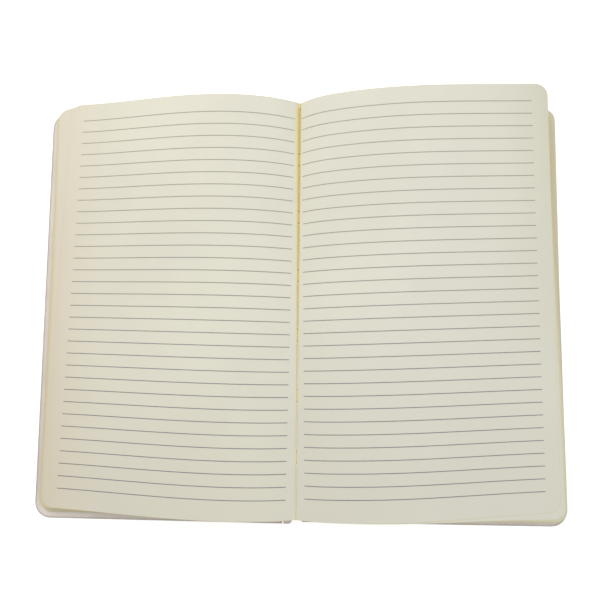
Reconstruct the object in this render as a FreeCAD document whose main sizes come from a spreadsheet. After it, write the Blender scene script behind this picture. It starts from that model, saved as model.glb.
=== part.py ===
import FreeCAD, Part
import math
import os
import Sketcher
from FreeCAD import Vector

# Open soft-cover notebook lying on its covers, pages up, head of the pages towards +Y.
# The origin is on the table, in the middle of the opened covers. Front half at -X, back half at +X.
os.makedirs("parts", exist_ok=True)
doc = FreeCAD.newDocument("notebook")

# Driving dimensions, in millimetres and degrees
sizes = {
    # covers, cut from flexible board with round corners, taller than the leaves by the allowance
    "cover_allowance": 3.0,
    "cover_thickness": 0.9,
    "cover_corner": 8.0,
    "front_cover_width": 127.1,
    "front_hinge_offset": 6.9,
    "front_tail_overhang": 4.6,
    "back_cover_width": 130.7,
    "back_hinge_offset": 3.3,
    "back_tail_overhang": 3.6,
    "back_turn": 0.4,
    "hinge_gap": 0.7,
    # endpapers, one glued inside each cover
    "endpaper_thickness": 0.15,
    "endpaper_inset": 3.0,
    # spine, a flat strip beside the front cover and a fold that stands up under the sewn folds
    "spine_fold_left": -2.8,
    "spine_fold_right": 3.5,
    "spine_fold_top": 5.4,
    "spine_fold_radius": 2.0,
    "spine_fit": 0.05,
    "spine_corner": 2.0,
    # leaves
    "page_height": 210.0,
    "page_shift": -0.2,
    "page_corner": 6.0,
    "gutter_offset": 0.4,
    "front_bottom_edge": 131.4,
    "back_bottom_edge": 132.6,
    "front_edge_at_head": 123.4,
    "front_edge_at_tail": 128.5,
    "back_edge_at_head": 122.4,
    "back_edge_at_tail": 128.6,
    "front_top_skew": 0.016,
    "front_bottom_skew": -0.012,
    "back_top_skew": 0.043,
    "back_bottom_skew": -0.005,
    # sewing thread in the gutter
    "thread_diameter": 0.5,
    "stitch_length": 24.0,
    "stitch_spacing": 30.0,
    "thread_lift": 0.7,
    # printed rules
    "rule_pitch": 6.17,
    "front_rule_head_margin": 9.0,
    "back_rule_head_margin": 8.4,
    "rule_tail_margin": 9.0,
    "rule_width": 0.45,
    "rule_thickness": 0.05,
    "rule_lift": 0.12,
    "front_rule_inner_head": 2.6,
    "front_rule_inner_tail": 5.1,
    "front_rule_outer_head": 115.9,
    "front_rule_outer_tail": 121.1,
    "back_rule_inner_head": 0.8,
    "back_rule_inner_tail": 4.3,
    "back_rule_outer_head": 114.1,
    "back_rule_outer_tail": 121.5,
}

# Height of the open pages above the table at six places from the gutter out to the fore-edge
places = ("gutter", "shoulder", "rise", "crown", "flank", "edge")
page_heights = {
    "front_head": (7.8, 11.2, 16.0, 17.7, 10.8, 3.5),
    "front_tail": (8.4, 10.3, 13.1, 14.0, 9.8, 5.0),
    "back_head": (7.8, 12.3, 17.4, 20.8, 19.8, 16.2),
    "back_tail": (8.4, 10.3, 12.7, 13.5, 9.2, 5.1),
}
place_fractions = (0.0, 0.048, 0.16, 0.36, 0.68, 1.0)

sheet = doc.addObject("Spreadsheet::Sheet", "Sizes")


def put_in_sheet(row, alias, value):
    """Write one named size on one row of the sheet."""
    sheet.set("A%d" % row, alias)
    sheet.set("B%d" % row, str(value))
    sheet.setAlias("B%d" % row, alias)


row = 0
for alias, value in sizes.items():
    row += 1
    put_in_sheet(row, alias, value)
for section, heights in page_heights.items():
    for place, height in zip(places, heights):
        row += 1
        put_in_sheet(row, section + "_" + place, height)
# Sizes that follow from the ones above
derived = {
    "page_tail": "=page_shift - page_height / 2",
    "cover_height": "=page_height + cover_allowance",
    "front_tail": "=page_tail - front_tail_overhang",
    "back_tail": "=page_tail - back_tail_overhang",
    "page_base": "=cover_thickness + endpaper_thickness",
    "gutter_fall": "=front_head_gutter - front_tail_gutter",
    "stitch_count": "=floor((page_height - stitch_length) / stitch_spacing) + 1",
    "stitch_row_length": "=stitch_spacing * (stitch_count - 1)",
    "stitch_row_margin": "=(page_height - stitch_row_length - stitch_length) / 2",
    "rule_count": "=floor((page_height - front_rule_head_margin - rule_tail_margin) / rule_pitch) + 1",
}
for alias, formula in derived.items():
    row += 1
    put_in_sheet(row, alias, formula)
doc.recompute()


def size(alias):
    """One driving dimension as a plain number."""
    return float(sheet.get(alias))


# Helpers for bodies built from sketches
near = 0.01  # points closer than this count as the same


def origin_plane(body, role):
    """The body's own origin plane of the given role."""
    for feature in body.Origin.OriginFeatures:
        if feature.Role == role:
            return feature


def new_sketch(body, name, role):
    """An empty sketch lying on one of the body's origin planes."""
    sketch = body.newObject("Sketcher::SketchObject", name)
    sketch.AttachmentSupport = (origin_plane(body, role), [""])
    sketch.MapMode = "FlatFace"
    return sketch


def rectangle(sketch, left, bottom, width, height):
    """A rectangle whose corner position and sides follow sheet expressions."""
    start = Vector(-1, -1, 0)
    corners = [start, Vector(1, -1, 0), Vector(1, 1, 0), Vector(-1, 1, 0)]
    for i in range(4):
        sketch.addGeometry(Part.LineSegment(corners[i], corners[(i + 1) % 4]), False)
    for i in range(4):
        sketch.addConstraint(Sketcher.Constraint("Coincident", i, 2, (i + 1) % 4, 1))
    for i, kind in enumerate(("Horizontal", "Vertical", "Horizontal", "Vertical")):
        sketch.addConstraint(Sketcher.Constraint(kind, i))
    driven = (
        ("DistanceX", -1, 1, 0, 1, left),
        ("DistanceY", -1, 1, 0, 1, bottom),
        ("DistanceX", 0, 1, 0, 2, width),
        ("DistanceY", 1, 1, 1, 2, height),
    )
    for kind, a, a_end, b, b_end, expression in driven:
        value = -1.0 if a == -1 else 2.0
        index = sketch.addConstraint(Sketcher.Constraint(kind, a, a_end, b, b_end, value))
        sketch.setExpression("Constraints[%d]" % index, expression)


def upright_edges(shape, wanted):
    """Names of the shape's upright straight edges at the wanted side of the body."""
    names = []
    for i, edge in enumerate(shape.Edges):
        ends = [vertex.Point for vertex in edge.Vertexes]
        if len(ends) != 2:
            continue
        run = ends[1] - ends[0]
        if abs(run.x) < near and abs(run.y) < near and wanted(ends[0]):
            names.append("Edge%d" % (i + 1))
    return names


def plate(label, left, bottom, width, height, thickness, corner, wanted, lift=None):
    """A flat sheet with rounded corners on its wanted side, as a body of its own."""
    body = doc.addObject("PartDesign::Body", label)
    body.Label = label
    sketch = new_sketch(body, label + "_outline", "XY_Plane")
    rectangle(sketch, left, bottom, width, height)
    if lift:
        sketch.setExpression(".AttachmentOffset.Base.z", lift)
    pad = body.newObject("PartDesign::Pad", label + "_sheet")
    pad.Profile = sketch
    pad.setExpression("Length", thickness)
    doc.recompute()
    fillet = body.newObject("PartDesign::Fillet", label + "_corners")
    fillet.Base = (pad, upright_edges(pad.Shape, wanted))
    fillet.setExpression("Radius", corner)
    doc.recompute()
    return body


def outer_left(point):
    """True for a point on the outer side of the front half."""
    return point.x < -size("front_cover_width") / 2


def outer_right(point):
    """True for a point on the outer side of the back half."""
    return point.x > size("back_cover_width") / 2


# Front cover, with its hinge edge at -X of the centre
front_cover = plate(
    "front_cover",
    "-Sizes.front_hinge_offset - Sizes.front_cover_width",
    "Sizes.front_tail",
    "Sizes.front_cover_width",
    "Sizes.cover_height",
    "Sizes.cover_thickness",
    "Sizes.cover_corner",
    outer_left,
)
front_endpaper = plate(
    "front_endpaper",
    "-Sizes.front_hinge_offset - Sizes.front_cover_width + Sizes.endpaper_inset",
    "Sizes.front_tail + Sizes.endpaper_inset",
    "Sizes.front_cover_width - Sizes.endpaper_inset",
    "Sizes.cover_height - 2 * Sizes.endpaper_inset",
    "Sizes.endpaper_thickness",
    "Sizes.page_corner",
    outer_left,
    "Sizes.cover_thickness",
)

# Back cover, turned a little in plan about the tail end of its hinge edge
back_cover = plate(
    "back_cover",
    "0",
    "0",
    "Sizes.back_cover_width",
    "Sizes.cover_height",
    "Sizes.cover_thickness",
    "Sizes.cover_corner",
    outer_right,
)
back_endpaper = plate(
    "back_endpaper",
    "0",
    "Sizes.endpaper_inset",
    "Sizes.back_cover_width - Sizes.endpaper_inset",
    "Sizes.cover_height - 2 * Sizes.endpaper_inset",
    "Sizes.endpaper_thickness",
    "Sizes.page_corner",
    outer_right,
    "Sizes.cover_thickness",
)
for body in (back_cover, back_endpaper):
    body.setExpression(".Placement.Base.x", "Sizes.back_hinge_offset")
    body.setExpression(".Placement.Base.y", "Sizes.back_tail")
    body.setExpression(".Placement.Rotation.Angle", "Sizes.back_turn")
doc.recompute()

# Spine, one strip: flat beside the front cover, then folded up under the sewn folds of the leaves
spine = doc.addObject("PartDesign::Body", "spine")
spine.Label = "spine"


def spine_pad(name, left, bottom, width, height, lift, length):
    """One straight block of the spine."""
    sketch = new_sketch(spine, name + "_outline", "XY_Plane")
    rectangle(sketch, left, bottom, width, height)
    sketch.setExpression(".AttachmentOffset.Base.z", lift)
    pad = spine.newObject("PartDesign::Pad", name)
    pad.Profile = sketch
    pad.setExpression("Length", length)
    doc.recompute()
    return pad


flat_strip = spine_pad(
    "flat_strip",
    "-Sizes.front_hinge_offset + Sizes.hinge_gap",
    "Sizes.front_tail",
    "Sizes.front_hinge_offset - Sizes.hinge_gap + Sizes.spine_fold_left + Sizes.cover_thickness",
    "Sizes.cover_height",
    "0",
    "Sizes.cover_thickness",
)
strip_corners = spine.newObject("PartDesign::Fillet", "strip_corners")
strip_end = upright_edges(flat_strip.Shape, lambda point: point.x > size("spine_fold_left"))
strip_corners.Base = (flat_strip, strip_end)
strip_corners.setExpression("Radius", "Sizes.spine_corner")
doc.recompute()
standing_side = spine_pad(
    "standing_side",
    "Sizes.spine_fold_left",
    "Sizes.page_tail",
    "Sizes.cover_thickness",
    "Sizes.page_height",
    "0",
    "Sizes.page_base + Sizes.spine_fit",
)
fold = spine_pad(
    "fold",
    "Sizes.spine_fold_left",
    "Sizes.page_tail",
    "Sizes.spine_fold_right - Sizes.spine_fold_left",
    "Sizes.page_height",
    "Sizes.page_base + Sizes.spine_fit",
    "Sizes.spine_fold_top - Sizes.page_base - Sizes.spine_fit",
)


def long_edges_at(shape, height):
    """Names of the straight edges that run along Y at the given height."""
    names = []
    for i, edge in enumerate(shape.Edges):
        ends = [vertex.Point for vertex in edge.Vertexes]
        if len(ends) != 2:
            continue
        along = abs(ends[1].y - ends[0].y) > size("page_height") / 2
        if along and all(abs(end.z - height) < near for end in ends):
            names.append("Edge%d" % (i + 1))
    return names


fold_corners = spine.newObject("PartDesign::Fillet", "fold_corners")
fold_corners.Base = (fold, long_edges_at(fold.Shape, size("spine_fold_top")))
fold_corners.setExpression("Radius", "Sizes.spine_fold_radius")
doc.recompute()
fold_inside = new_sketch(spine, "fold_inside", "XY_Plane")
rectangle(
    fold_inside,
    "Sizes.spine_fold_left + Sizes.cover_thickness",
    "Sizes.page_tail",
    "Sizes.spine_fold_right - Sizes.spine_fold_left - 2 * Sizes.cover_thickness",
    "Sizes.page_height",
)
fold_inside.setExpression(".AttachmentOffset.Base.z", "Sizes.spine_fold_top - Sizes.cover_thickness")
hollow = spine.newObject("PartDesign::Pocket", "hollow")
hollow.Profile = fold_inside
hollow.setExpression(
    "Length",
    "Sizes.spine_fold_top - Sizes.cover_thickness - Sizes.page_base - Sizes.spine_fit",
)
doc.recompute()

# Page block, the sewn leaves as one solid: two arched wings that meet in the gutter
gutter = size("gutter_offset")
tail = size("page_tail")
head = tail + size("page_height")
base = size("page_base")
spine_top = size("spine_fold_top") + size("spine_fit")


class Wing:
    """One half of the open leaves: its side, its skew in plan and its curves at head and tail."""

    def __init__(self, name, side):
        self.side = side
        self.top_skew = size(name + "_top_skew")
        self.bottom_skew = size(name + "_bottom_skew")
        self.reach = size(name + "_bottom_edge")
        self.curves = {}
        for end, y in (("tail", tail), ("head", head)):
            edge = size(name + "_edge_at_" + end)
            points = []
            for place, fraction in zip(places, place_fractions):
                height = size("%s_%s_%s" % (name, end, place))
                points.append(self.point(edge * fraction, y, height, self.top_skew))
            curve = Part.BSplineCurve()
            curve.interpolate(Points=points, Parameters=list(place_fractions))
            self.curves[end] = curve

    def point(self, distance, y, height, skew):
        """A point at a distance from the gutter, moved towards the head by the skew."""
        return Vector(gutter + self.side * distance, y + skew * distance, height)

    def surface_point(self, fraction, along):
        """Point of the top surface at a fraction of its width, along = 0 at the tail and 1 at the head."""
        low = self.curves["tail"].value(fraction)
        high = self.curves["head"].value(fraction)
        return low * (1 - along) + high * along

    def section(self, end):
        """Edges of the wing's closed outline at one end: top, fore-edge, underside, gutter side."""
        y = {"tail": tail, "head": head}[end]
        curve = self.curves[end]
        inner_top = curve.value(0.0)
        outer_top = curve.value(1.0)
        outer_low = self.point(self.reach, y, base, self.bottom_skew)
        inner_low = self.point(0.0, y, base, self.bottom_skew)
        lines = [(outer_top, outer_low), (outer_low, inner_low), (inner_low, inner_top)]
        return [curve.toShape()] + [Part.makeLine(a, b) for a, b in lines]

    def solid(self):
        """The wing's solid, with the leaves' corners rounded along the sloping fore-edge."""
        low = self.section("tail")
        high = self.section("head")
        faces = [Part.makeRuledSurface(a, b) for a, b in zip(low, high)]
        for end, edges in (("tail", low), ("head", high)):
            y = {"tail": tail, "head": head}[end]
            inner_low = self.point(0.0, y, base, self.bottom_skew)
            outer_low = self.point(self.reach, y, base, self.bottom_skew)
            faces.append(Part.makeRuledSurface(edges[0], Part.makeLine(inner_low, outer_low)))
        shell = Part.makeShell(faces)
        shell.sewShape()
        shape = Part.makeSolid(shell)
        if shape.Volume < 0:
            shape.reverse()
        shape.fix(near, near, near)
        for end in ("tail", "head"):
            shape = shape.cut(self.corner_cutter(end))
        return shape

    def corner_cutter(self, end):
        """What is cut from a corner of the leaves, leaning with the fore-edge from table to above."""
        y = {"tail": tail, "head": head}[end]
        inwards = {"tail": 1, "head": -1}[end]
        foot = self.point(self.reach, y, base, self.bottom_skew)
        top = self.curves[end].value(1.0)
        lean = (top - foot) * (1 / (top.z - foot.z))
        along_edge = Vector(0, inwards, 0)
        along_end = Vector(-self.side, -(self.top_skew + self.bottom_skew) / 2, 0).normalize()
        radius = size("page_corner")
        clear = radius / 3
        wires = []
        for height in (0.0, 2 * top.z):
            corner = foot + lean * (height - foot.z)
            on_edge = corner + along_edge * radius
            on_end = corner + along_end * radius
            middle = corner + (along_edge + along_end) * radius * (1 - math.sqrt(0.5))
            outline = [
                on_edge,
                on_edge - along_end * clear,
                corner - along_edge * clear - along_end * clear,
                on_end - along_edge * clear,
                on_end,
            ]
            edges = [Part.makeLine(a, b) for a, b in zip(outline, outline[1:])]
            edges.append(Part.Arc(on_end, middle, on_edge).toShape())
            wires.append(Part.Wire(edges))
        return Part.makeLoft(wires, True, True)


front_wing = Wing("front", -1)
back_wing = Wing("back", 1)
block = front_wing.solid().fuse(back_wing.solid())
channel_left = size("spine_fold_left") - size("spine_fit")
channel_width = size("spine_fold_right") + size("spine_fit") - channel_left
channel_start = Vector(channel_left, -size("page_height"), 0)
channel_length = 2 * size("page_height")
channel = Part.makeBox(channel_width, channel_length, spine_top, channel_start)
channel_corners = []
for edge in channel.Edges:
    if abs(edge.CenterOfMass.z - spine_top) < near and edge.Length > 2 * channel_width:
        channel_corners.append(edge)
channel = channel.makeFillet(size("spine_fold_radius"), channel_corners)
block = block.cut(channel)
page_block = doc.addObject("Part::Feature", "page_block")
page_block.Label = "page_block"
page_block.Shape = block.Solids[0] if len(block.Solids) == 1 else block

# Sewing thread, spans of one row of stitches lying in the bottom of the gutter
thread = doc.addObject("PartDesign::Body", "sewing_thread")
thread.Label = "sewing_thread"
thread.AllowCompound = True
thread_round = new_sketch(thread, "thread_round", "XZ_Plane")
thread_width = size("thread_diameter")
thread_round.addGeometry(Part.Circle(Vector(0, 0, 0), Vector(0, 0, 1), thread_width / 2), False)
thread_round.addConstraint(Sketcher.Constraint("Coincident", 0, 3, -1, 1))
width_index = thread_round.addConstraint(Sketcher.Constraint("Diameter", 0, thread_width))
thread_round.setExpression("Constraints[%d]" % width_index, "Sizes.thread_diameter")
stitch = thread.newObject("PartDesign::Pad", "stitch")
stitch.Profile = thread_round
stitch.Reversed = True
stitch.setExpression("Length", "Sizes.stitch_length")
doc.recompute()
stitch_row = thread.newObject("PartDesign::LinearPattern", "stitch_row")
stitch_row.Originals = [stitch]
stitch_row.Direction = (origin_plane(thread, "Y_Axis"), [""])
stitch_row.setExpression("Length", "Sizes.stitch_row_length")
stitch_row.setExpression("Occurrences", "Sizes.stitch_count")
thread.Tip = stitch_row
thread.Placement = FreeCAD.Placement(Vector(0, 0, 0), FreeCAD.Rotation(Vector(1, 0, 0), -1))
thread.setExpression(".Placement.Rotation.Angle", "atan(Sizes.gutter_fall / Sizes.page_height)")
thread.setExpression(".Placement.Base.x", "Sizes.gutter_offset")
thread.setExpression(".Placement.Base.y", "Sizes.page_tail + Sizes.stitch_row_margin")
thread.setExpression(
    ".Placement.Base.z",
    "Sizes.front_tail_gutter + Sizes.thread_lift"
    " + Sizes.gutter_fall * Sizes.stitch_row_margin / Sizes.page_height",
)
doc.recompute()


# Printed rules, thin straight bands of ink that follow the arched top leaf of each wing
def rule_fractions(wing, along, first, last, count=12, samples=96, flattest=1 / 400):
    """Places across the page, spaced so that straight spans between them leave the arch equally.

    The arch counts as bent nowhere less than the flattest share of its strongest bend.
    """
    fine = [first + (last - first) * k / samples for k in range(samples + 1)]
    heights = [wing.surface_point(fraction, along).z for fraction in fine]
    bends = [abs(a - 2 * b + c) for a, b, c in zip(heights, heights[1:], heights[2:])]
    bends = [bends[0]] + bends + [bends[-1]]
    least = max(bends) * flattest
    shares = [0.0]
    for a, b in zip(bends, bends[1:]):
        shares.append(shares[-1] + math.sqrt(max((a + b) / 2, least)))
    places_across = []
    k = 0
    for i in range(count + 1):
        target = shares[-1] * i / count
        while k < samples - 1 and shares[k + 1] < target:
            k += 1
        part_way = (target - shares[k]) / (shares[k + 1] - shares[k])
        places_across.append(fine[k] + (fine[k + 1] - fine[k]) * part_way)
    return places_across


def rule_band(wing, along, first, last):
    """One band of ink, flat on top and keeled below, between two fractions of the page's width."""
    half = size("rule_width") / size("page_height") / 2
    lift = size("rule_lift")
    thickness = size("rule_thickness")
    rings = []
    for fraction in rule_fractions(wing, along, first, last):
        near = wing.surface_point(fraction, along - half) + Vector(0, 0, lift)
        far = wing.surface_point(fraction, along + half) + Vector(0, 0, lift)
        up = Vector(0, 0, thickness)
        rings.append([near + up, far + up, (near + far) * 0.5])
    faces = []
    for a, b in zip(rings, rings[1:]):
        for k in range(3):
            m = (k + 1) % 3
            faces.append(Part.makeRuledSurface(Part.makeLine(a[k], a[m]), Part.makeLine(b[k], b[m])))
    for ring in (rings[0], rings[-1]):
        faces.append(Part.Face(Part.makePolygon(ring + [ring[0]])))
    shell = Part.makeShell(faces)
    shell.sewShape()
    band = Part.makeSolid(shell)
    if band.Volume < 0:
        band.reverse()
    return band


def ruling(label, wing, name):
    """All the rules of one page as a group of solids."""
    bands = []
    for i in range(int(size("rule_count"))):
        down = size(name + "_rule_head_margin") + i * size("rule_pitch")
        along = 1 - down / size("page_height")
        limits = []
        for which in ("inner", "outer"):
            at_head = size("%s_rule_%s_head" % (name, which))
            at_tail = size("%s_rule_%s_tail" % (name, which))
            edge_at_head = size(name + "_edge_at_head")
            edge_at_tail = size(name + "_edge_at_tail")
            distance = at_tail * (1 - along) + at_head * along
            limits.append(distance / (edge_at_tail * (1 - along) + edge_at_head * along))
        bands.append(rule_band(wing, along, limits[0], limits[1]))
    feature = doc.addObject("Part::Feature", label)
    feature.Label = label
    feature.Shape = Part.makeCompound(bands)
    return feature


front_ruling = ruling("front_page_ruling", front_wing, "front")
back_ruling = ruling("back_page_ruling", back_wing, "back")

# Check every object, then write one file for each piece
doc.recompute()
pieces = [
    page_block,
    spine,
    front_cover,
    back_cover,
    front_endpaper,
    back_endpaper,
    thread,
    front_ruling,
    back_ruling,
]
for item in doc.Objects:
    if "Invalid" in item.State or "Error" in item.State:
        raise RuntimeError("%s failed: %s" % (item.Name, item.State))
for piece in pieces:
    shape = piece.Shape
    if shape.isNull() or not shape.isValid():
        raise RuntimeError("%s has no valid shape" % piece.Label)
    box = shape.BoundBox
    print(
        piece.Label,
        len(shape.Solids),
        "volume %.0f" % shape.Volume,
        "x %.1f %.1f" % (box.XMin, box.XMax),
        "y %.1f %.1f" % (box.YMin, box.YMax),
        "z %.2f %.2f" % (box.ZMin, box.ZMax),
    )
    shape.exportStep("parts/%s.step" % piece.Label)
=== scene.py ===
import math
import bmesh
import bpy
import numpy as np
from mathutils import Matrix, Vector


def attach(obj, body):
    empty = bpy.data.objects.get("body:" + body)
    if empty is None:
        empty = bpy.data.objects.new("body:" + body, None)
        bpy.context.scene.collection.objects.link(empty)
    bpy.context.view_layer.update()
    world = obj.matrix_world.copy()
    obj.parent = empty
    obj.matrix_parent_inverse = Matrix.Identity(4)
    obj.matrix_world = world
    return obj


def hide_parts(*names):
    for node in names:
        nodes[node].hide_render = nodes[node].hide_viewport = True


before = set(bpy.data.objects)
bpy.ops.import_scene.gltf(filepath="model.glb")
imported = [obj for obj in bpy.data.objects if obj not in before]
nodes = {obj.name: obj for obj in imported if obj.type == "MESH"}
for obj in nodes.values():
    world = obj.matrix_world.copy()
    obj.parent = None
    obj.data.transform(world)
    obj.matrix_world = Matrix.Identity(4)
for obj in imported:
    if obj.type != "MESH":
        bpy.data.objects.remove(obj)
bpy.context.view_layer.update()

# The sewn leaves
# About 110 leaves of cream paper, folded in sections and sewn through their folds, lying open a little
# before the middle. Each half bends over the sewn fold, arches, and fans out leaf by leaf at its edges.
mm = 0.001
page_tail, page_head = -105.2 * mm, 104.8 * mm
page_length = page_head - page_tail
gutter_x = 0.4 * mm
page_corner = 6.0 * mm
leaf_count = 56
leaf_thickness = 0.16 * mm
leaves_in_section = 8
leaf_fill = 0.85
leaf_tuck, section_tuck = 0.25 * mm, 0.45 * mm
ragged_edge, ragged_fold = 0.11 * mm, 0.05 * mm
leaf_part_of_ragged = 0.6
tone_and_shade_reach = 20.0 * mm
rim_reach = 3.0 * mm
fold_shade_growth = 1.4
tail_margin = 11.0 * mm
stations = np.array([0.0, 0.048, 0.16, 0.36, 0.68, 1.0])
halves = {
    "front": {
        "side": -1.0,
        "head": (7.8, 11.2, 16.0, 17.7, 10.8, 3.5),
        "tail": (8.4, 10.3, 13.1, 14.0, 9.8, 5.0),
        "edge_head": 123.4 * mm,
        "edge_tail": 128.5 * mm,
        "bottom_edge": 131.4 * mm,
        "bottom_skew": -0.012,
        "top_skew": 0.016,
        "fan_head": 0.05,
        "fan_tail": 0.4,
        "slip_head": 0.12,
        "slip_tail": 1.0,
        "sag_head": 1.0,
        "tone_shade_head": 0.55,
        "tone_shade_tail": 0.95,
        "fold_shade_head": 3.0 * mm,
        "fold_shade_tail": 0.3 * mm,
    },
    "back": {
        "side": 1.0,
        "head": (7.8, 12.3, 17.4, 20.8, 19.8, 16.2),
        "tail": (8.4, 10.3, 12.7, 13.5, 9.2, 5.1),
        "edge_head": 122.4 * mm,
        "edge_tail": 128.6 * mm,
        "bottom_edge": 132.6 * mm,
        "bottom_skew": -0.005,
        "top_skew": 0.043,
        "fan_head": 1.0,
        "fan_tail": 0.15,
        "slip_head": 0.12,
        "slip_tail": 0.15,
        "sag_head": 2.2,
        "tone_shade_head": 0.8,
        "tone_shade_tail": 0.1,
        "fold_shade_head": 0.7 * mm,
        "fold_shade_tail": 0.25 * mm,
    },
}


def spline(places, values, at):
    """Cubic spline through the values. Its slopes at the places make the bend equal on both sides of
    each inner one, and its end slopes are those of the cubic through the four nearest places."""
    places, values = np.asarray(places), np.asarray(values)
    count = len(places)
    step = np.diff(places)
    rise = np.diff(values) / step
    system, wanted = np.zeros((count, count)), np.zeros(count)
    for end, chosen in ((0, slice(0, 4)), (count - 1, slice(count - 4, count))):
        system[end, end] = 1.0
        cubic = np.polyfit(places[chosen] - places[end], values[chosen], 3)
        wanted[end] = cubic[2]
    for k in range(1, count - 1):
        system[k, k - 1 : k + 2] = step[k], 2 * (step[k - 1] + step[k]), step[k - 1]
        wanted[k] = 3 * (step[k] * rise[k - 1] + step[k - 1] * rise[k])
    slopes = np.linalg.solve(system, wanted)
    k = np.clip(np.searchsorted(places, at) - 1, 0, count - 2)
    t = (at - places[k]) / step[k]
    from_left = (1 + 2 * t) * (1 - t) ** 2 * values[k] + t * (1 - t) ** 2 * step[k] * slopes[k]
    from_right = t * t * (3 - 2 * t) * values[k + 1] + t * t * (t - 1) * step[k] * slopes[k + 1]
    return from_left + from_right


fold_middle = 0.35 * mm
fold_flat, fold_round = 1.2 * mm, 2.0 * mm
flare_width, flare_height = 1.6 * mm, 2.4 * mm
stack_foot = 1.05 * mm


def leaf_floor(x):
    """Height of the lowest leaf at x: on the cover outside, and bent up over the round sewn fold of
    the spine inside, as a quarter circle above a quarter ellipse that runs out on the cover."""
    out = np.abs(x - fold_middle)
    past_flat = np.clip(out - fold_flat, 0, fold_round)
    over = stack_foot + flare_height + np.sqrt(fold_round**2 - past_flat**2)
    in_flare = np.clip((fold_flat + fold_round + flare_width - out) / flare_width, 0, 1)
    beside = stack_foot + flare_height * (1 - np.sqrt(1 - in_flare**2))
    return np.where(out < fold_flat + fold_round, over, beside)


def along_page(y, tail, head):
    """A value that changes evenly from the tail of the page to its head."""
    share = (y - page_tail) / page_length
    return tail * (1 - share) + head * share


def edge_of(half, y, leaf):
    """Distance of a leaf's fore-edge from the gutter. The leaf counts from 0, the lowest, to 1, the
    open page. The edge moves from the open page's to the lowest leaf's with a power of the way down,
    and a low power lets the upper leaves spread first."""
    top = along_page(y, half["edge_tail"], half["edge_head"])
    fan = along_page(y, half["fan_tail"], half["fan_head"])
    return top + (half["bottom_edge"] - top) * (1 - leaf) ** fan


def leaf_point(half, distance, y, level, leaf=1.0):
    """Points of a leaf at a distance from the gutter and a place y along the page. The level is the
    share of the height between the lowest leaf and the open page's curved surface, which is a spline
    across the tail blended with one across the head. The skew moves the open page towards the head in
    proportion to the distance, less so in the middle of the tail margin, and the leaves below have
    slipped back by a share that grows with the distance and with their way down. The sag is a power
    of the level that grows from 1 to its own value towards the fore-edge at the head."""
    share = np.clip(distance / edge_of(half, y, 1.0), 0, 1)
    tail, head = spline(stations, half["tail"], share), spline(stations, half["head"], share)
    surface = along_page(y, tail, head) * mm
    in_margin = np.clip(1 - (y - page_tail) / tail_margin, 0, 1) ** 2
    slip = (1 - leaf) ** along_page(y, half["slip_tail"], half["slip_head"]) * share
    skew = half["top_skew"] * (1 - (1 - np.sqrt(share)) * in_margin)
    skew = skew - (half["top_skew"] - half["bottom_skew"]) * slip
    level = level ** (1 + (half["sag_head"] - 1) * share * along_page(y, 0.0, 1.0))
    x = gutter_x + half["side"] * distance
    floor_height = leaf_floor(x)
    return np.stack([x, y + skew * distance, floor_height + level * (surface - floor_height)], -1)


def quads(rows, columns, start=0):
    """Faces between neighbouring rows and columns of grid points that are numbered row by row."""
    row, column = np.meshgrid(np.arange(rows - 1), np.arange(columns - 1), indexing="ij")
    first = (start + row * columns + column).ravel()
    return np.stack([first, first + 1, first + 1 + columns, first + columns], -1)


merge_distance = 1e-7
crease_angle = math.radians(30)


def make_piece(name, points, faces, materials, facts=None, slots=None):
    """A mesh object from points and face arrays, its doubles merged and its normals made to agree.
    Facts are values at its points, and slots are the numbers of its faces' materials."""
    mesh = bpy.data.meshes.new(name)
    all_faces = [face for group in faces for face in group.tolist()]
    mesh.from_pydata(np.asarray(points).tolist(), [], all_faces)
    for fact, values in (facts or {}).items():
        layer = mesh.attributes.new(fact, "FLOAT", "POINT")
        layer.data.foreach_set("value", np.asarray(values, dtype=float).ravel())
    if slots is not None:
        mesh.polygons.foreach_set("material_index", np.asarray(slots, dtype=int))
    work = bmesh.new()
    work.from_mesh(mesh)
    bmesh.ops.remove_doubles(work, verts=work.verts, dist=merge_distance)
    bmesh.ops.recalc_face_normals(work, faces=work.faces)
    work.to_mesh(mesh)
    work.free()
    mesh.shade_smooth()
    mesh.set_sharp_from_angle(angle=crease_angle)
    piece = bpy.data.objects.new(name, mesh)
    bpy.context.scene.collection.objects.link(piece)
    for material in materials:
        mesh.materials.append(material)
    return piece


draw = np.random.default_rng(11)


def leaf_ragged(spread):
    """How far each leaf's edges stand back or proud: a draw for the leaf plus one for its section. The
    open page and the lowest leaf keep their place."""
    sections = draw.normal(0, spread, leaf_count // leaves_in_section)
    leaves = draw.normal(0, leaf_part_of_ragged * spread, leaf_count)
    leaves += np.repeat(sections, leaves_in_section)
    leaves[[0, -1]] = 0.0
    return leaves


ragged_at_fold = leaf_ragged(ragged_fold)
near_gutter = 5.4 * mm
near_columns, wide_columns, corner_columns, page_rows = 17, 40, 9, 49
turn = np.radians(np.linspace(0, 90, corner_columns))[1:]
upward = np.linspace(0, 1, page_rows)


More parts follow.
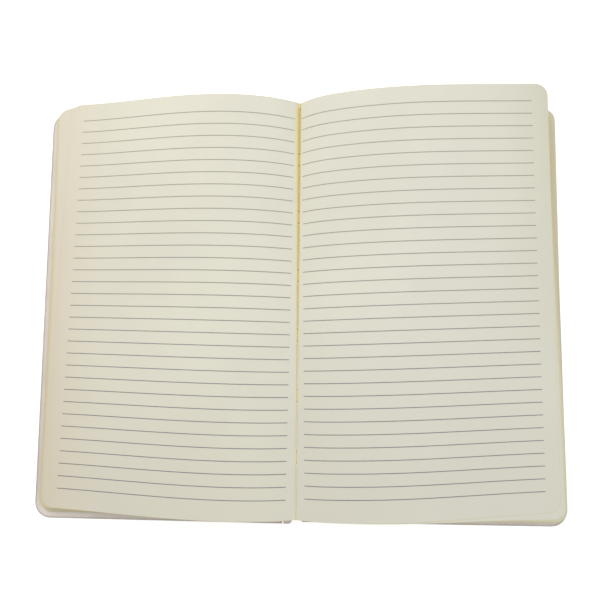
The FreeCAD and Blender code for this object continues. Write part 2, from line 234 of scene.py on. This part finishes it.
def leaf_stack(half):
    """The half's leaves as one skin: the open page, the underside, and between them the edges of all
    leaves. Each leaf has three rows of points, tucked in under it, its lower rim and its upper rim,
    and a row runs along the tail, round the corner, up the fore-edge, round the other corner and
    along the head. From one leaf's upper rim the next row goes to the foot of the leaf above."""
    ragged = leaf_ragged(ragged_edge)
    middle_edge = along_page(0.0, half["edge_tail"], half["edge_head"])
    near = np.linspace(0, near_gutter, near_columns)[:-1]
    wide = np.linspace(near_gutter, middle_edge - page_corner, wide_columns)
    reach = np.concatenate([near, wide]) / wide[-1]
    across = np.concatenate([reach, np.ones(len(turn))])
    angle = np.concatenate([np.zeros(len(reach)), turn])

    def flat_face(leaf):
        """A whole leaf's points. Columns run out to the corner and round it, rows from tail to head."""
        side_y = page_corner * (1 - np.cos(angle))
        y = page_tail + side_y + upward[:, None] * (page_length - 2 * side_y)
        distance = across * (edge_of(half, y, leaf) - page_corner) + page_corner * np.sin(angle)
        return leaf_point(half, distance, y, leaf, leaf), distance, y

    top, top_distance, top_y = flat_face(1.0)
    under, under_distance, _ = flat_face(0.0)
    to_edge = edge_of(half, top_y, 1.0) - top_distance
    to_ends = np.minimum(top_y - page_tail, page_head - top_y)
    top_rim = np.minimum(np.minimum(to_edge, rim_reach), to_ends)
    top_rim[:, -1] = top_rim[0] = top_rim[-1] = 0.0
    # Margin tone, partly the paper's own toning and partly painted shade, strongest at the fore-edge
    top_tone_shade = along_page(top_y, half["tone_shade_tail"], half["tone_shade_head"])
    top_tone_shade = top_tone_shade * np.exp(-to_edge / tone_and_shade_reach)
    # Width of the painted warm shade along the fold, growing towards the head
    fold_shade_share = along_page(top_y, 0.0, 1.0) ** fold_shade_growth
    fold_shade_width = half["fold_shade_tail"] + (half["fold_shade_head"] - half["fold_shade_tail"]) * fold_shade_share
    top_fold_shade = np.clip(1 - top_distance / fold_shade_width, 0, 1)

    fore = np.ones(len(upward) - 2)
    path_across = np.concatenate([across, fore, across[::-1]])
    path_angle = np.concatenate([angle, fore * np.pi / 2, np.pi - angle[::-1]])
    path_centre = np.concatenate([across * 0, upward[1:-1], across * 0 + 1])
    number = np.repeat(np.arange(leaf_count), 3)
    level = (number + np.tile([0.0, 1.0, 1.0], leaf_count)) / leaf_count
    leaf = number / (leaf_count - 1)
    tuck = np.where(number % leaves_in_section == 0, section_tuck, leaf_tuck)
    tuck = tuck * np.tile([1.0, 0.0, 0.0], leaf_count)
    tuck[0] = 0.0
    level, leaf, tuck, number = level[:, None], leaf[:, None], tuck[:, None], number[:, None]
    shrink = tuck + ragged[number] * path_across + ragged_at_fold[number] * (1 - path_across)
    y = page_tail + page_corner + path_centre * (page_length - 2 * page_corner)
    y = y - (page_corner - shrink) * np.cos(path_angle)
    on_page = np.clip(y, page_tail, page_head)
    distance = path_across * (edge_of(half, on_page, leaf) - page_corner)
    distance = distance + (page_corner - shrink) * np.sin(path_angle)
    band = leaf_point(half, distance, y, level, leaf)
    foot, upper_rim = band[0::3, :, 2], band[2::3, :, 2]
    band[1::3, :, 2] = upper_rim - np.minimum(leaf_fill * (upper_rim - foot), leaf_thickness)
    inward = edge_of(half, on_page, leaf) - distance
    band_tone_shade = along_page(on_page, half["tone_shade_tail"], half["tone_shade_head"])
    band_tone_shade = band_tone_shade * np.exp(-inward / tone_and_shade_reach)
    band_rim = np.zeros(band.shape[:2])
    band_rim[3::3] = np.linalg.norm(band[3::3] - band[2:-1:3], axis=-1)

    rows, columns = top.shape[:2]
    points = np.concatenate([top.reshape(-1, 3), under.reshape(-1, 3), band.reshape(-1, 3)])
    faces = np.concatenate([
        quads(rows, columns),
        quads(rows, columns, rows * columns)[:, ::-1],
        quads(*band.shape[:2], 2 * rows * columns),
    ])
    cut_edge = np.repeat(np.arange(len(band) - 1) % 3 != 2, band.shape[1] - 1)
    slots = np.concatenate([np.zeros(2 * (rows - 1) * (columns - 1)), cut_edge])
    no_under, no_band = np.zeros(under_distance.shape), np.zeros(band_rim.shape)
    facts = {
        "from_rim": (top_rim, under_distance, band_rim),
        "painted_fold_shade": (top_fold_shade, no_under, no_band),
        "toned_and_shaded": (top_tone_shade, no_under, band_tone_shade),
        "leaf": (np.ones(top_rim.shape), no_under, leaf + no_band),
    }
    facts = {name: np.concatenate([grid.ravel() for grid in grids]) for name, grids in facts.items()}
    return points, faces, slots, facts


def paint(red, green, blue):
    """A colour written as it looks on the screen, from 0 to 255, as the linear colour that nodes use."""
    screen = np.array([red, green, blue]) / 255
    linear = np.where(screen <= 0.04045, screen / 12.92, ((screen + 0.055) / 1.055) ** 2.4)
    return (*linear.tolist(), 1.0)


def feed(tree, node, name, value):
    """Gives a node's input a value, or a link where the value is another node's output."""
    if isinstance(value, bpy.types.NodeSocket):
        tree.links.new(value, node.inputs[name])
    else:
        node.inputs[name].default_value = value


def add(tree, kind, settings=None, ordered=(), **named):
    """Adds a node with its settings and inputs. Inputs are in order or by name."""
    new = tree.nodes.new(kind)
    for name, value in (settings or {}).items():
        setattr(new, name, value)
    for name, value in enumerate(ordered):
        feed(tree, new, name, value)
    for name, value in named.items():
        feed(tree, new, name.replace("_", " "), value)
    return new


def calc(tree, operation, *values):
    """One step of arithmetic."""
    return add(tree, "ShaderNodeMath", {"operation": operation}, values).outputs[0]


def tint(tree, share, first, second):
    """Two colours blended by a share."""
    mix = add(tree, "ShaderNodeMix", {"data_type": "RGBA"})
    for name, value in ((0, share), (6, first), (7, second)):
        feed(tree, mix, name, value)
    return mix.outputs[2]


def ramp(tree, value, low, high, start=0.0, end=1.0):
    """The change from start to end as the value goes from low to high, smoothed at both ends."""
    smooth = {"interpolation_type": "SMOOTHSTEP"}
    new = add(tree, "ShaderNodeMapRange", smooth, Value=value, From_Min=low, From_Max=high)
    feed(tree, new, "To Min", start)
    feed(tree, new, "To Max", end)
    return new.outputs[0]


def fact(tree, name):
    """A value that the piece's mesh carries at its points."""
    return add(tree, "ShaderNodeAttribute", {"attribute_name": name}).outputs["Fac"]


# Fibres pressed flat in paper and board: a cloudy shade, fine flecks, rare specks and a low relief.
# The fibres lie along the page's height, and a cell holds a speck only where its draw is high.
fibre_stretch = (1.0, 0.45, 1.0)
fleck_scale, fleck_spot = 0.16, (0.035, 0.075)
speck_scale, speck_spot, speck_limit = 0.018, (0.006, 0.013), 0.72
fibres = bpy.data.node_groups.new("pressed_fibres", "ShaderNodeTree")
fibres.interface.new_socket("Vector", in_out="INPUT", socket_type="NodeSocketVector")
for label, standard in (("Cloud size", 40.0), ("Fibre size", 900.0)):
    socket = fibres.interface.new_socket(label, in_out="INPUT", socket_type="NodeSocketFloat")
    socket.default_value = standard
for label in ("Cloud", "Fleck", "Speck", "Height"):
    fibres.interface.new_socket(label, in_out="OUTPUT", socket_type="NodeSocketFloat")
given = fibres.nodes.new("NodeGroupInput").outputs
result = fibres.nodes.new("NodeGroupOutput").inputs
place, fibre_size = given["Vector"], given["Fibre size"]
cloud_looks = {"Detail": 4.0, "Roughness": 0.6}
felt_looks = {"Detail": 5.0, "Roughness": 0.65, "Distortion": 0.6}
cloud = add(fibres, "ShaderNodeTexNoise", Vector=place, Scale=given["Cloud size"], **cloud_looks)
stretched = add(fibres, "ShaderNodeVectorMath", {"operation": "MULTIPLY"}, (place, fibre_stretch))
felt = add(fibres, "ShaderNodeTexNoise", Vector=stretched.outputs[0], Scale=fibre_size, **felt_looks)
fleck_size = calc(fibres, "MULTIPLY", fibre_size, fleck_scale)
speck_size = calc(fibres, "MULTIPLY", fibre_size, speck_scale)
flecks = add(fibres, "ShaderNodeTexVoronoi", Vector=place, Scale=fleck_size).outputs
specks = add(fibres, "ShaderNodeTexVoronoi", Vector=place, Scale=speck_size).outputs
speck_draw = add(fibres, "ShaderNodeSeparateColor", None, (specks["Color"],)).outputs[0]
chosen = calc(fibres, "GREATER_THAN", speck_draw, speck_limit)
speck = calc(fibres, "MULTIPLY", ramp(fibres, specks["Distance"], *speck_spot, 1.0, 0.0), chosen)
fibres.links.new(cloud.outputs["Fac"], result["Cloud"])
fibres.links.new(ramp(fibres, flecks["Distance"], *fleck_spot, 1.0, 0.0), result["Fleck"])
fibres.links.new(speck, result["Speck"])
fibres.links.new(felt.outputs["Fac"], result["Height"])
matt_shine = 0.25


def start_material(name, cloud_size, fibre_size, roughness, relief, strength):
    """A matt material with its shader, and pressed fibres on it. The larger a size's number, the finer
    its pattern. The relief is the height of the fibres, and the strength how much of it counts."""
    material = bpy.data.materials.new(name)
    material.use_nodes = True
    tree = material.node_tree
    shader = tree.nodes["Principled BSDF"]
    shader.inputs["Roughness"].default_value = roughness
    shader.inputs["Specular IOR Level"].default_value = matt_shine
    where = tree.nodes.new("ShaderNodeTexCoord").outputs["Object"]
    fineness = {"Cloud size": cloud_size, "Fibre size": fibre_size}
    parts = add(tree, "ShaderNodeGroup", {"node_tree": fibres}, Vector=where, **fineness).outputs
    bump = add(tree, "ShaderNodeBump", Height=parts["Height"], Strength=strength, Distance=relief)
    tree.links.new(bump.outputs["Normal"], shader.inputs["Normal"])
    return material, tree, shader, where, parts


def axis(tree, where, letter):
    """The place along one axis, in metres."""
    return add(tree, "ShaderNodeSeparateXYZ", None, (where,)).outputs[letter]


# Cream paper, greener to the right, with painted shade darkening it towards the tail, toned at its
# margins and partly painted shade there, browned at its rims and partly painted shade from the leaf
# above, with painted warm shade along the fold and a dot of painted shade in each hole where the thread
# goes through
cream_left, cream_right = paint(230, 227, 211), paint(228, 227, 214)
cream_cloudy, cream_tail_shade = paint(222, 219, 206), paint(206, 199, 182)
paper_fleck, paper_speck = paint(170, 158, 132), paint(150, 138, 120)
fleck_share, speck_share, hole_shade_share = 0.10, 0.55, 0.45
# Margin colours: partly the paper's own toning and partly painted shade where the light falls off
toned_shaded_left, toned_shaded_right = paint(219, 208, 186), paint(211, 207, 186)
# Rim colour: partly the paper's own browning and partly painted shade from the leaf above
rim_brown_shade = paint(216, 205, 166)
# Colours of the painted warm shade in the bottom of the fold
fold_shade_pale, fold_shade_yellow = paint(230, 218, 168), paint(214, 195, 124)
hole_shade_brown = paint(92, 80, 62)
cloud_range = (0.35, 0.65)
greener_from, greener_to = -60 * mm, 120 * mm
tail_shade_from, tail_shade_to, tail_shade_share = -10 * mm, -105 * mm, 0.28
margin_turn = 20 * mm
brown_shade_inner, brown_shade_outer, brown_shade_share = 0.22 * mm, 0.04 * mm, 0.75
hole_inner, hole_outer = 0.25 * mm, 0.6 * mm
stitch_length, stitch_pitch, stitch_count = 24.0 * mm, 30.0 * mm, 7
stitch_middle = (page_head + page_tail) / 2

page_paper, tree, shader, where, parts = start_material(
    "page_paper", cloud_size=14.0, fibre_size=1500.0, roughness=0.82, relief=0.02 * mm, strength=0.35
)
across_pages, along_pages = axis(tree, where, "X"), axis(tree, where, "Y")
cream = tint(tree, ramp(tree, across_pages, greener_from, greener_to), cream_left, cream_right)
cream = tint(tree, ramp(tree, parts["Cloud"], *cloud_range, 0.0, 0.5), cream, cream_cloudy)
# Painted shade: the paper darkens towards the tail, where the light falls off
cream = tint(tree, ramp(tree, along_pages, tail_shade_to, tail_shade_from, tail_shade_share, 0.0), cream, cream_tail_shade)
cream = tint(tree, calc(tree, "MULTIPLY", parts["Fleck"], fleck_share), cream, paper_fleck)
cream = tint(tree, calc(tree, "MULTIPLY", parts["Speck"], speck_share), cream, paper_speck)
# The margins toned, partly the paper's own toning and partly painted shade where the light falls off
margin_tone_shade = tint(tree, ramp(tree, across_pages, -margin_turn, margin_turn), toned_shaded_left, toned_shaded_right)
cream = tint(tree, fact(tree, "toned_and_shaded"), cream, margin_tone_shade)
# Browned rims, partly the paper's own browning and partly painted shade from the leaf above
browned_and_shaded = ramp(tree, fact(tree, "from_rim"), brown_shade_outer, brown_shade_inner, brown_shade_share, 0.0)
cream = tint(tree, browned_and_shaded, cream, rim_brown_shade)
# Painted warm shade in the bottom of the fold, wider towards the head
fold_shade_mask = fact(tree, "painted_fold_shade")
cream = tint(tree, ramp(tree, fold_shade_mask, 0.0, 0.45), cream, fold_shade_pale)
cream = tint(tree, ramp(tree, fold_shade_mask, 0.4, 0.75), cream, fold_shade_yellow)
# A dot of painted shade in each stitch hole, only where the fold's painted shade is strong
from_first = calc(tree, "SUBTRACT", along_pages, stitch_middle - stitch_pitch / 2)
from_gap = calc(tree, "PINGPONG", from_first, stitch_pitch / 2)
from_hole = calc(tree, "ABSOLUTE", calc(tree, "SUBTRACT", from_gap, (stitch_pitch - stitch_length) / 2))
hole_shade = ramp(tree, from_hole, hole_inner, hole_outer, hole_shade_share, 0.0)
hole_shade = calc(tree, "MULTIPLY", hole_shade, ramp(tree, fold_shade_mask, 0.5, 0.8))
cream = tint(tree, hole_shade, cream, hole_shade_brown)
tree.links.new(cream, shader.inputs["Base Color"])

# Cut edges of the leaves, streaked from leaf to leaf and a little along each leaf
edge_dark, edge_pale, edge_cloudy = paint(228, 220, 181), paint(240, 233, 201), paint(206, 193, 146)
streaks_per_stack, streaks_along = 40.0, 6.0
streak_looks = {"Scale": 1.4, "Detail": 3.0, "Roughness": 0.7}
edge_cloud_range, edge_cloud_share = (0.4, 0.7), 0.2

leaf_edges, tree, shader, where, parts = start_material(
    "leaf_edges", cloud_size=60.0, fibre_size=1200.0, roughness=0.88, relief=0.03 * mm, strength=0.4
)
up_stack = calc(tree, "MULTIPLY", fact(tree, "leaf"), streaks_per_stack)
up_stack = add(tree, "ShaderNodeCombineXYZ", Z=up_stack).outputs[0]
drift = add(tree, "ShaderNodeVectorMath", {"operation": "SCALE"}, (where,), Scale=streaks_along)
line_place = add(tree, "ShaderNodeVectorMath", {"operation": "ADD"}, (up_stack, drift.outputs[0]))
streaks = add(tree, "ShaderNodeTexNoise", Vector=line_place.outputs[0], **streak_looks)
tan = tint(tree, ramp(tree, streaks.outputs["Fac"], *cloud_range), edge_dark, edge_pale)
tan = tint(tree, ramp(tree, parts["Cloud"], *edge_cloud_range, 0.0, edge_cloud_share), tan, edge_cloudy)
tree.links.new(tan, shader.inputs["Base Color"])

stacks = [leaf_stack(halves["front"]), leaf_stack(halves["back"])]
leaves = make_piece(
    "sewn_leaves",
    np.concatenate([stack[0] for stack in stacks]),
    [stacks[0][1], stacks[1][1] + len(stacks[0][0])],
    [page_paper, leaf_edges],
    {name: np.concatenate([stack[3][name] for stack in stacks]) for name in stacks[0][3]},
    np.concatenate([stack[2] for stack in stacks]),
)
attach(leaves, "leaves")
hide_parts("page_block")

# The printed rules
# Thirty-two thin grey-violet lines a page, printed on the paper before it was folded, so they follow
# the arch of the page and stop short of the gutter and of the fore-edge.
rule_count = 32
rule_pitch = 6.17 * mm
rule_width = 0.34 * mm
rule_lift = 0.05 * mm
rule_film = 0.02 * mm
rule_points = 61
rule_crowding = 1.25
rule_places = {
    "front": {"first": 9.0 * mm, "inner": (5.1 * mm, 2.6 * mm), "outer": (121.1 * mm, 115.9 * mm)},
    "back": {"first": 8.4 * mm, "inner": (4.3 * mm, 0.8 * mm), "outer": (121.5 * mm, 114.1 * mm)},
}
ink_tail, ink_head, ink_worn = paint(128, 121, 131), paint(166, 162, 148), paint(214, 209, 196)
ink_from, ink_to = -60 * mm, 90 * mm
worn_range, worn_share = (0.45, 0.75), 0.35

rule_ink, tree, shader, where, parts = start_material(
    "rule_ink", cloud_size=300.0, fibre_size=2500.0, roughness=0.8, relief=0.01 * mm, strength=0.3
)
ink = tint(tree, ramp(tree, axis(tree, where, "Y"), ink_from, ink_to), ink_tail, ink_head)
ink = tint(tree, ramp(tree, parts["Height"], *worn_range, 0.0, worn_share), ink, ink_worn)
tree.links.new(ink, shader.inputs["Base Color"])


def page_rules(name):
    """Bands of ink. A band's cross-section is a flat rectangle, carried from the inner end to the
    outer end at the open page's height plus the lift. A power of the way along it puts the points
    closer together near the gutter."""
    half, places = halves[name], rule_places[name]
    y = (page_head - places["first"] - rule_pitch * np.arange(rule_count))[:, None, None]
    inner, outer = along_page(y, *places["inner"]), along_page(y, *places["outer"])
    along = np.linspace(0, 1, rule_points)[None, :, None] ** rule_crowding
    distance = inner + (outer - inner) * along
    aside = np.array([-1, 1, 1, -1, -1]) * rule_width / 2
    points = leaf_point(half, distance + 0 * aside, y + aside, 1.0)
    points[..., 2] += np.array([0, 0, 1, 1, 0]) * rule_film + rule_lift
    corners = len(aside)
    starts = rule_points * corners * np.arange(rule_count)
    faces = [quads(rule_points, corners, start) for start in starts]
    for end in (0, (rule_points - 1) * corners):
        faces.append(starts[:, None] + end + np.arange(4))
    piece = make_piece(name + "_printed_rules", points.reshape(-1, 3), faces, [rule_ink])
    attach(piece, "leaves")
    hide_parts(name + "_page_ruling")


page_rules("front")
page_rules("back")

# The sewing thread
# Two-ply waxed linen in long stitches along the bottom of the open fold. Each stitch comes up through
# one hole in the fold and goes down through the next.
ply_points = 180
ply_offset = 0.12 * mm
ply_radius = 0.14 * mm
ply_twist = 1.5 * mm
thread_rest = 0.32 * mm
thread_dip = 0.9 * mm
dip_reach = 0.07 * stitch_length
linen_pale, linen_dark, linen_yellow = paint(243, 238, 222), paint(228, 220, 196), paint(226, 210, 154)
yellow_from, yellow_to = -50 * mm, 60 * mm

waxed_thread, tree, shader, where, parts = start_material(
    "waxed_thread", cloud_size=900.0, fibre_size=5000.0, roughness=0.6, relief=0.02 * mm, strength=0.5
)
linen = tint(tree, parts["Cloud"], linen_pale, linen_dark)
# The thread yellower towards the head
linen = tint(tree, ramp(tree, axis(tree, where, "Y"), yellow_from, yellow_to), linen, linen_yellow)
tree.links.new(linen, shader.inputs["Base Color"])


def stitches():
    """Twisted plies. A ply is a ring of points carried along the stitch, offset from the stitch's line
    by a turning arm. Its ends are rounded off, and bent down into the holes by the square of the way
    through the last stretch of the stitch."""
    number = np.arange(stitch_count) - (stitch_count - 1) / 2
    number, ply = number[:, None, None, None], np.array([0.0, np.pi])[None, :, None, None]
    along = np.linspace(-0.5, 0.5, ply_points)[None, None, :, None] * stitch_length
    ring = np.radians(np.arange(0, 361, 60))[None, None, None, :]
    from_end = stitch_length / 2 - np.abs(along)
    radius = ply_radius * np.sqrt(1 - np.clip(1 - from_end / ply_radius, 0, 1) ** 2)
    arm = ply + 2 * np.pi * along / ply_twist
    y = stitch_middle + number * stitch_pitch + along
    bottom = along_page(y, halves["front"]["tail"][0], halves["front"]["head"][0]) * mm
    sunk = thread_dip * np.clip(1 - from_end / dip_reach, 0, 1) ** 2
    x = gutter_x + ply_offset * np.cos(arm) + radius * np.cos(ring)
    z = bottom + thread_rest - sunk + ply_offset * np.sin(arm) + radius * np.sin(ring)
    points = np.stack(np.broadcast_arrays(x, y, z), -1)
    tubes = points.reshape(-1, ply_points * ring.size, 3)
    faces = [quads(ply_points, ring.size, ply_points * ring.size * tube) for tube in range(len(tubes))]
    return points.reshape(-1, 3), faces


thread = make_piece("stitches", *stitches(), [waxed_thread])
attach(thread, "leaves")
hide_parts("sewing_thread")

# The covers and the spine
# Flexible grey-pink board with round corners, cut in one with the strip that forms the spine. The
# board's cut rim is rounded by handling and rubbed, and darker than its face, partly from the wear and
# partly as painted shade.
board_height = 213.0 * mm
board_thickness = 0.9 * mm
board_corner = 8.0 * mm
rim_round = 0.3 * mm
rim_worn = 1.2 * mm
face_inset = 6.0 * mm
bend_points, arc_points = 5, 13
boards = {
    "front": {"side": -1.0, "hinge": 6.9 * mm, "width": 127.1 * mm, "tail": -109.8 * mm, "turn": 0.0},
    "back": {"side": 1.0, "hinge": 3.3 * mm, "width": 130.7 * mm, "tail": -108.8 * mm, "turn": 0.4},
}
board_pale, board_cloudy = paint(230, 221, 213), paint(220, 211, 203)
board_fleck, board_rubbed_shaded = paint(172, 163, 158), paint(176, 167, 160)
board_fleck_share = 0.25
rub_shade_range, rub_shade_shares = (0.3, 0.6), (0.55, 0.95)

cover_board, tree, shader, where, parts = start_material(
    "cover_board", cloud_size=30.0, fibre_size=700.0, roughness=0.7, relief=0.05 * mm, strength=0.5
)
board = tint(tree, ramp(tree, parts["Cloud"], *cloud_range), board_pale, board_cloudy)
board = tint(tree, calc(tree, "MULTIPLY", parts["Fleck"], board_fleck_share), board, board_fleck)
# The rim darker in patches, partly rubbed wear and partly painted shade
rubbed_and_shaded = ramp(tree, parts["Height"], *rub_shade_range, *rub_shade_shares)
rubbed_and_shaded = calc(tree, "MULTIPLY", fact(tree, "rim"), rubbed_and_shaded)
board = tint(tree, rubbed_and_shaded, board, board_rubbed_shaded)
tree.links.new(board, shader.inputs["Base Color"])


def cover(name):
    """A board as rings of points. A ring is the outline moved inwards, with round corners away from
    the hinge, and the rings go from inside the upper face over the rounded rim to the lower face."""
    place = boards[name]
    bend = np.radians(np.linspace(0, 90, bend_points))
    inset = np.concatenate([[face_inset, rim_worn], rim_round * (1 - np.sin(bend))])
    inset = np.concatenate([inset, inset[::-1]])[:, None]
    height = np.concatenate([[0, 0], rim_round * (1 - np.cos(bend))])
    height = np.concatenate([board_thickness - height, height[::-1]])[:, None]
    arc = np.radians(np.concatenate([np.linspace(-90, 0, arc_points), np.linspace(0, 90, arc_points)]))
    centre = np.repeat([board_corner, board_height - board_corner], arc_points)
    radius = board_corner - inset
    out = [inset, place["width"] - board_corner + radius * np.cos(arc), inset, inset]
    up = [inset, centre + radius * np.sin(arc), board_height - inset, inset]
    out, up = np.concatenate(out, 1), np.concatenate(up, 1)
    angle = math.radians(place["turn"])
    x = place["side"] * place["hinge"] + place["side"] * out * math.cos(angle) - up * math.sin(angle)
    y = place["tail"] + place["side"] * out * math.sin(angle) + up * math.cos(angle)
    points = np.stack([x, y, height + 0 * x], -1)
    rows, columns = points.shape[:2]
    cap = np.arange(columns - 1)[None, :]
    faces = [quads(rows, columns), cap, (rows - 1) * columns + cap]
    rim = np.where(inset <= rim_round, 1.0, 0.0) + 0 * out
    piece = make_piece(name + "_board", points.reshape(-1, 3), faces, [cover_board], {"rim": rim})
    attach(piece, name)
    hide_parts(name + "_cover")


cover("front")
cover("back")
nodes["spine"].data.materials.clear()
nodes["spine"].data.materials.append(cover_board)

# The endpapers
# A sheet of plain paper glued inside each cover, a little smaller than the board. It shows only when
# its cover is folded away.
sheet_pale, sheet_cloudy, sheet_fleck = paint(220, 213, 192), paint(211, 204, 182), paint(168, 156, 130)
sheet_fleck_share = 0.12

endpaper, tree, shader, where, parts = start_material(
    "endpaper", cloud_size=26.0, fibre_size=1300.0, roughness=0.85, relief=0.02 * mm, strength=0.4
)
sheet = tint(tree, ramp(tree, parts["Cloud"], *cloud_range), sheet_pale, sheet_cloudy)
sheet = tint(tree, calc(tree, "MULTIPLY", parts["Fleck"], sheet_fleck_share), sheet, sheet_fleck)
tree.links.new(sheet, shader.inputs["Base Color"])
for name in ("front_endpaper", "back_endpaper"):
    nodes[name].data.materials.clear()
    nodes[name].data.materials.append(endpaper)

# The floor, the lamps and the camera
# A plain pale table that keeps a faint shadow, soft light from above and a camera over the middle of
# the open pages, which looks almost straight down.
floor_reach = 2.0
floor_grey = (0.82, 0.82, 0.82, 1.0)
floor_glow = 0.5
room_light = 0.535

floor_mesh = bpy.data.meshes.new("floor")
floor_corners = [(x * floor_reach, y * floor_reach, 0) for x, y in ((-1, -1), (1, -1), (1, 1), (-1, 1))]
floor_mesh.from_pydata(floor_corners, [], [(0, 1, 2, 3)])
floor = bpy.data.objects.new("floor", floor_mesh)
bpy.context.scene.collection.objects.link(floor)
floor_paint, tree, shader, where, parts = start_material(
    "floor_paint", cloud_size=4.0, fibre_size=200.0, roughness=0.9, relief=0.01 * mm, strength=0.1
)
shader.inputs["Base Color"].default_value = floor_grey


def seen_directly(tree):
    """1 for rays that the camera sees straight, in a reflection or through glass, and 0 for light."""
    rays = add(tree, "ShaderNodeLightPath").outputs
    straight = calc(tree, "MAXIMUM", rays["Is Camera Ray"], rays["Is Glossy Ray"])
    return calc(tree, "MAXIMUM", straight, rays["Is Transmission Ray"])


lift = add(tree, "ShaderNodeEmission", Strength=calc(tree, "MULTIPLY", seen_directly(tree), floor_glow))
both = add(tree, "ShaderNodeAddShader", None, (shader.outputs[0], lift.outputs[0]))
tree.links.new(both.outputs[0], tree.nodes["Material Output"].inputs["Surface"])
floor_mesh.materials.append(floor_paint)

world = bpy.data.worlds.new("studio")
bpy.context.scene.world = world
world.use_nodes = True
tree = world.node_tree
strength = add(tree, "ShaderNodeMapRange", Value=seen_directly(tree), To_Min=room_light, To_Max=1.0)
tree.links.new(strength.outputs[0], tree.nodes["Background"].inputs["Strength"])
tree.nodes["Background"].inputs["Color"].default_value = (1.0, 1.0, 1.0, 1.0)


def soft_lamp(name, place, width, power, colour):
    """A square lamp at a place, turned towards the middle of the table. Its width softens shadows."""
    lamp = bpy.data.lights.new(name, "AREA")
    lamp.size = width
    lamp.energy = power
    lamp.color = colour
    holder = bpy.data.objects.new(name, lamp)
    holder.location = place
    holder.rotation_euler = (-Vector(place)).to_track_quat("-Z", "Y").to_euler()
    bpy.context.scene.collection.objects.link(holder)


soft_lamp("key_lamp", place=(-0.26, 0.42, 0.56), width=0.5, power=2.6, colour=(1.0, 0.985, 0.95))
soft_lamp("fill_lamp", place=(0.5, -0.2, 0.46), width=0.5, power=1.05, colour=(0.93, 0.99, 1.0))

photo_pixels, focal_pixels, sensor_width = 600, 505.5, 36.0
camera_place = (0.01134, -0.01671, 0.26198)
camera_turns = (("Z", -0.638), ("X", -4.302), ("Y", -2.275))

camera_data = bpy.data.cameras.new("camera")
camera_data.sensor_width = sensor_width
camera_data.lens = focal_pixels / photo_pixels * sensor_width
camera = bpy.data.objects.new("camera", camera_data)
bpy.context.scene.collection.objects.link(camera)
turned = Matrix.Identity(4)
for letter, degrees in camera_turns:
    turned = turned @ Matrix.Rotation(math.radians(degrees), 4, letter)
camera.matrix_world = Matrix.Translation(camera_place) @ turned.transposed()
bpy.context.scene.camera = camera
bpy.context.scene.view_settings.view_transform = "Standard"
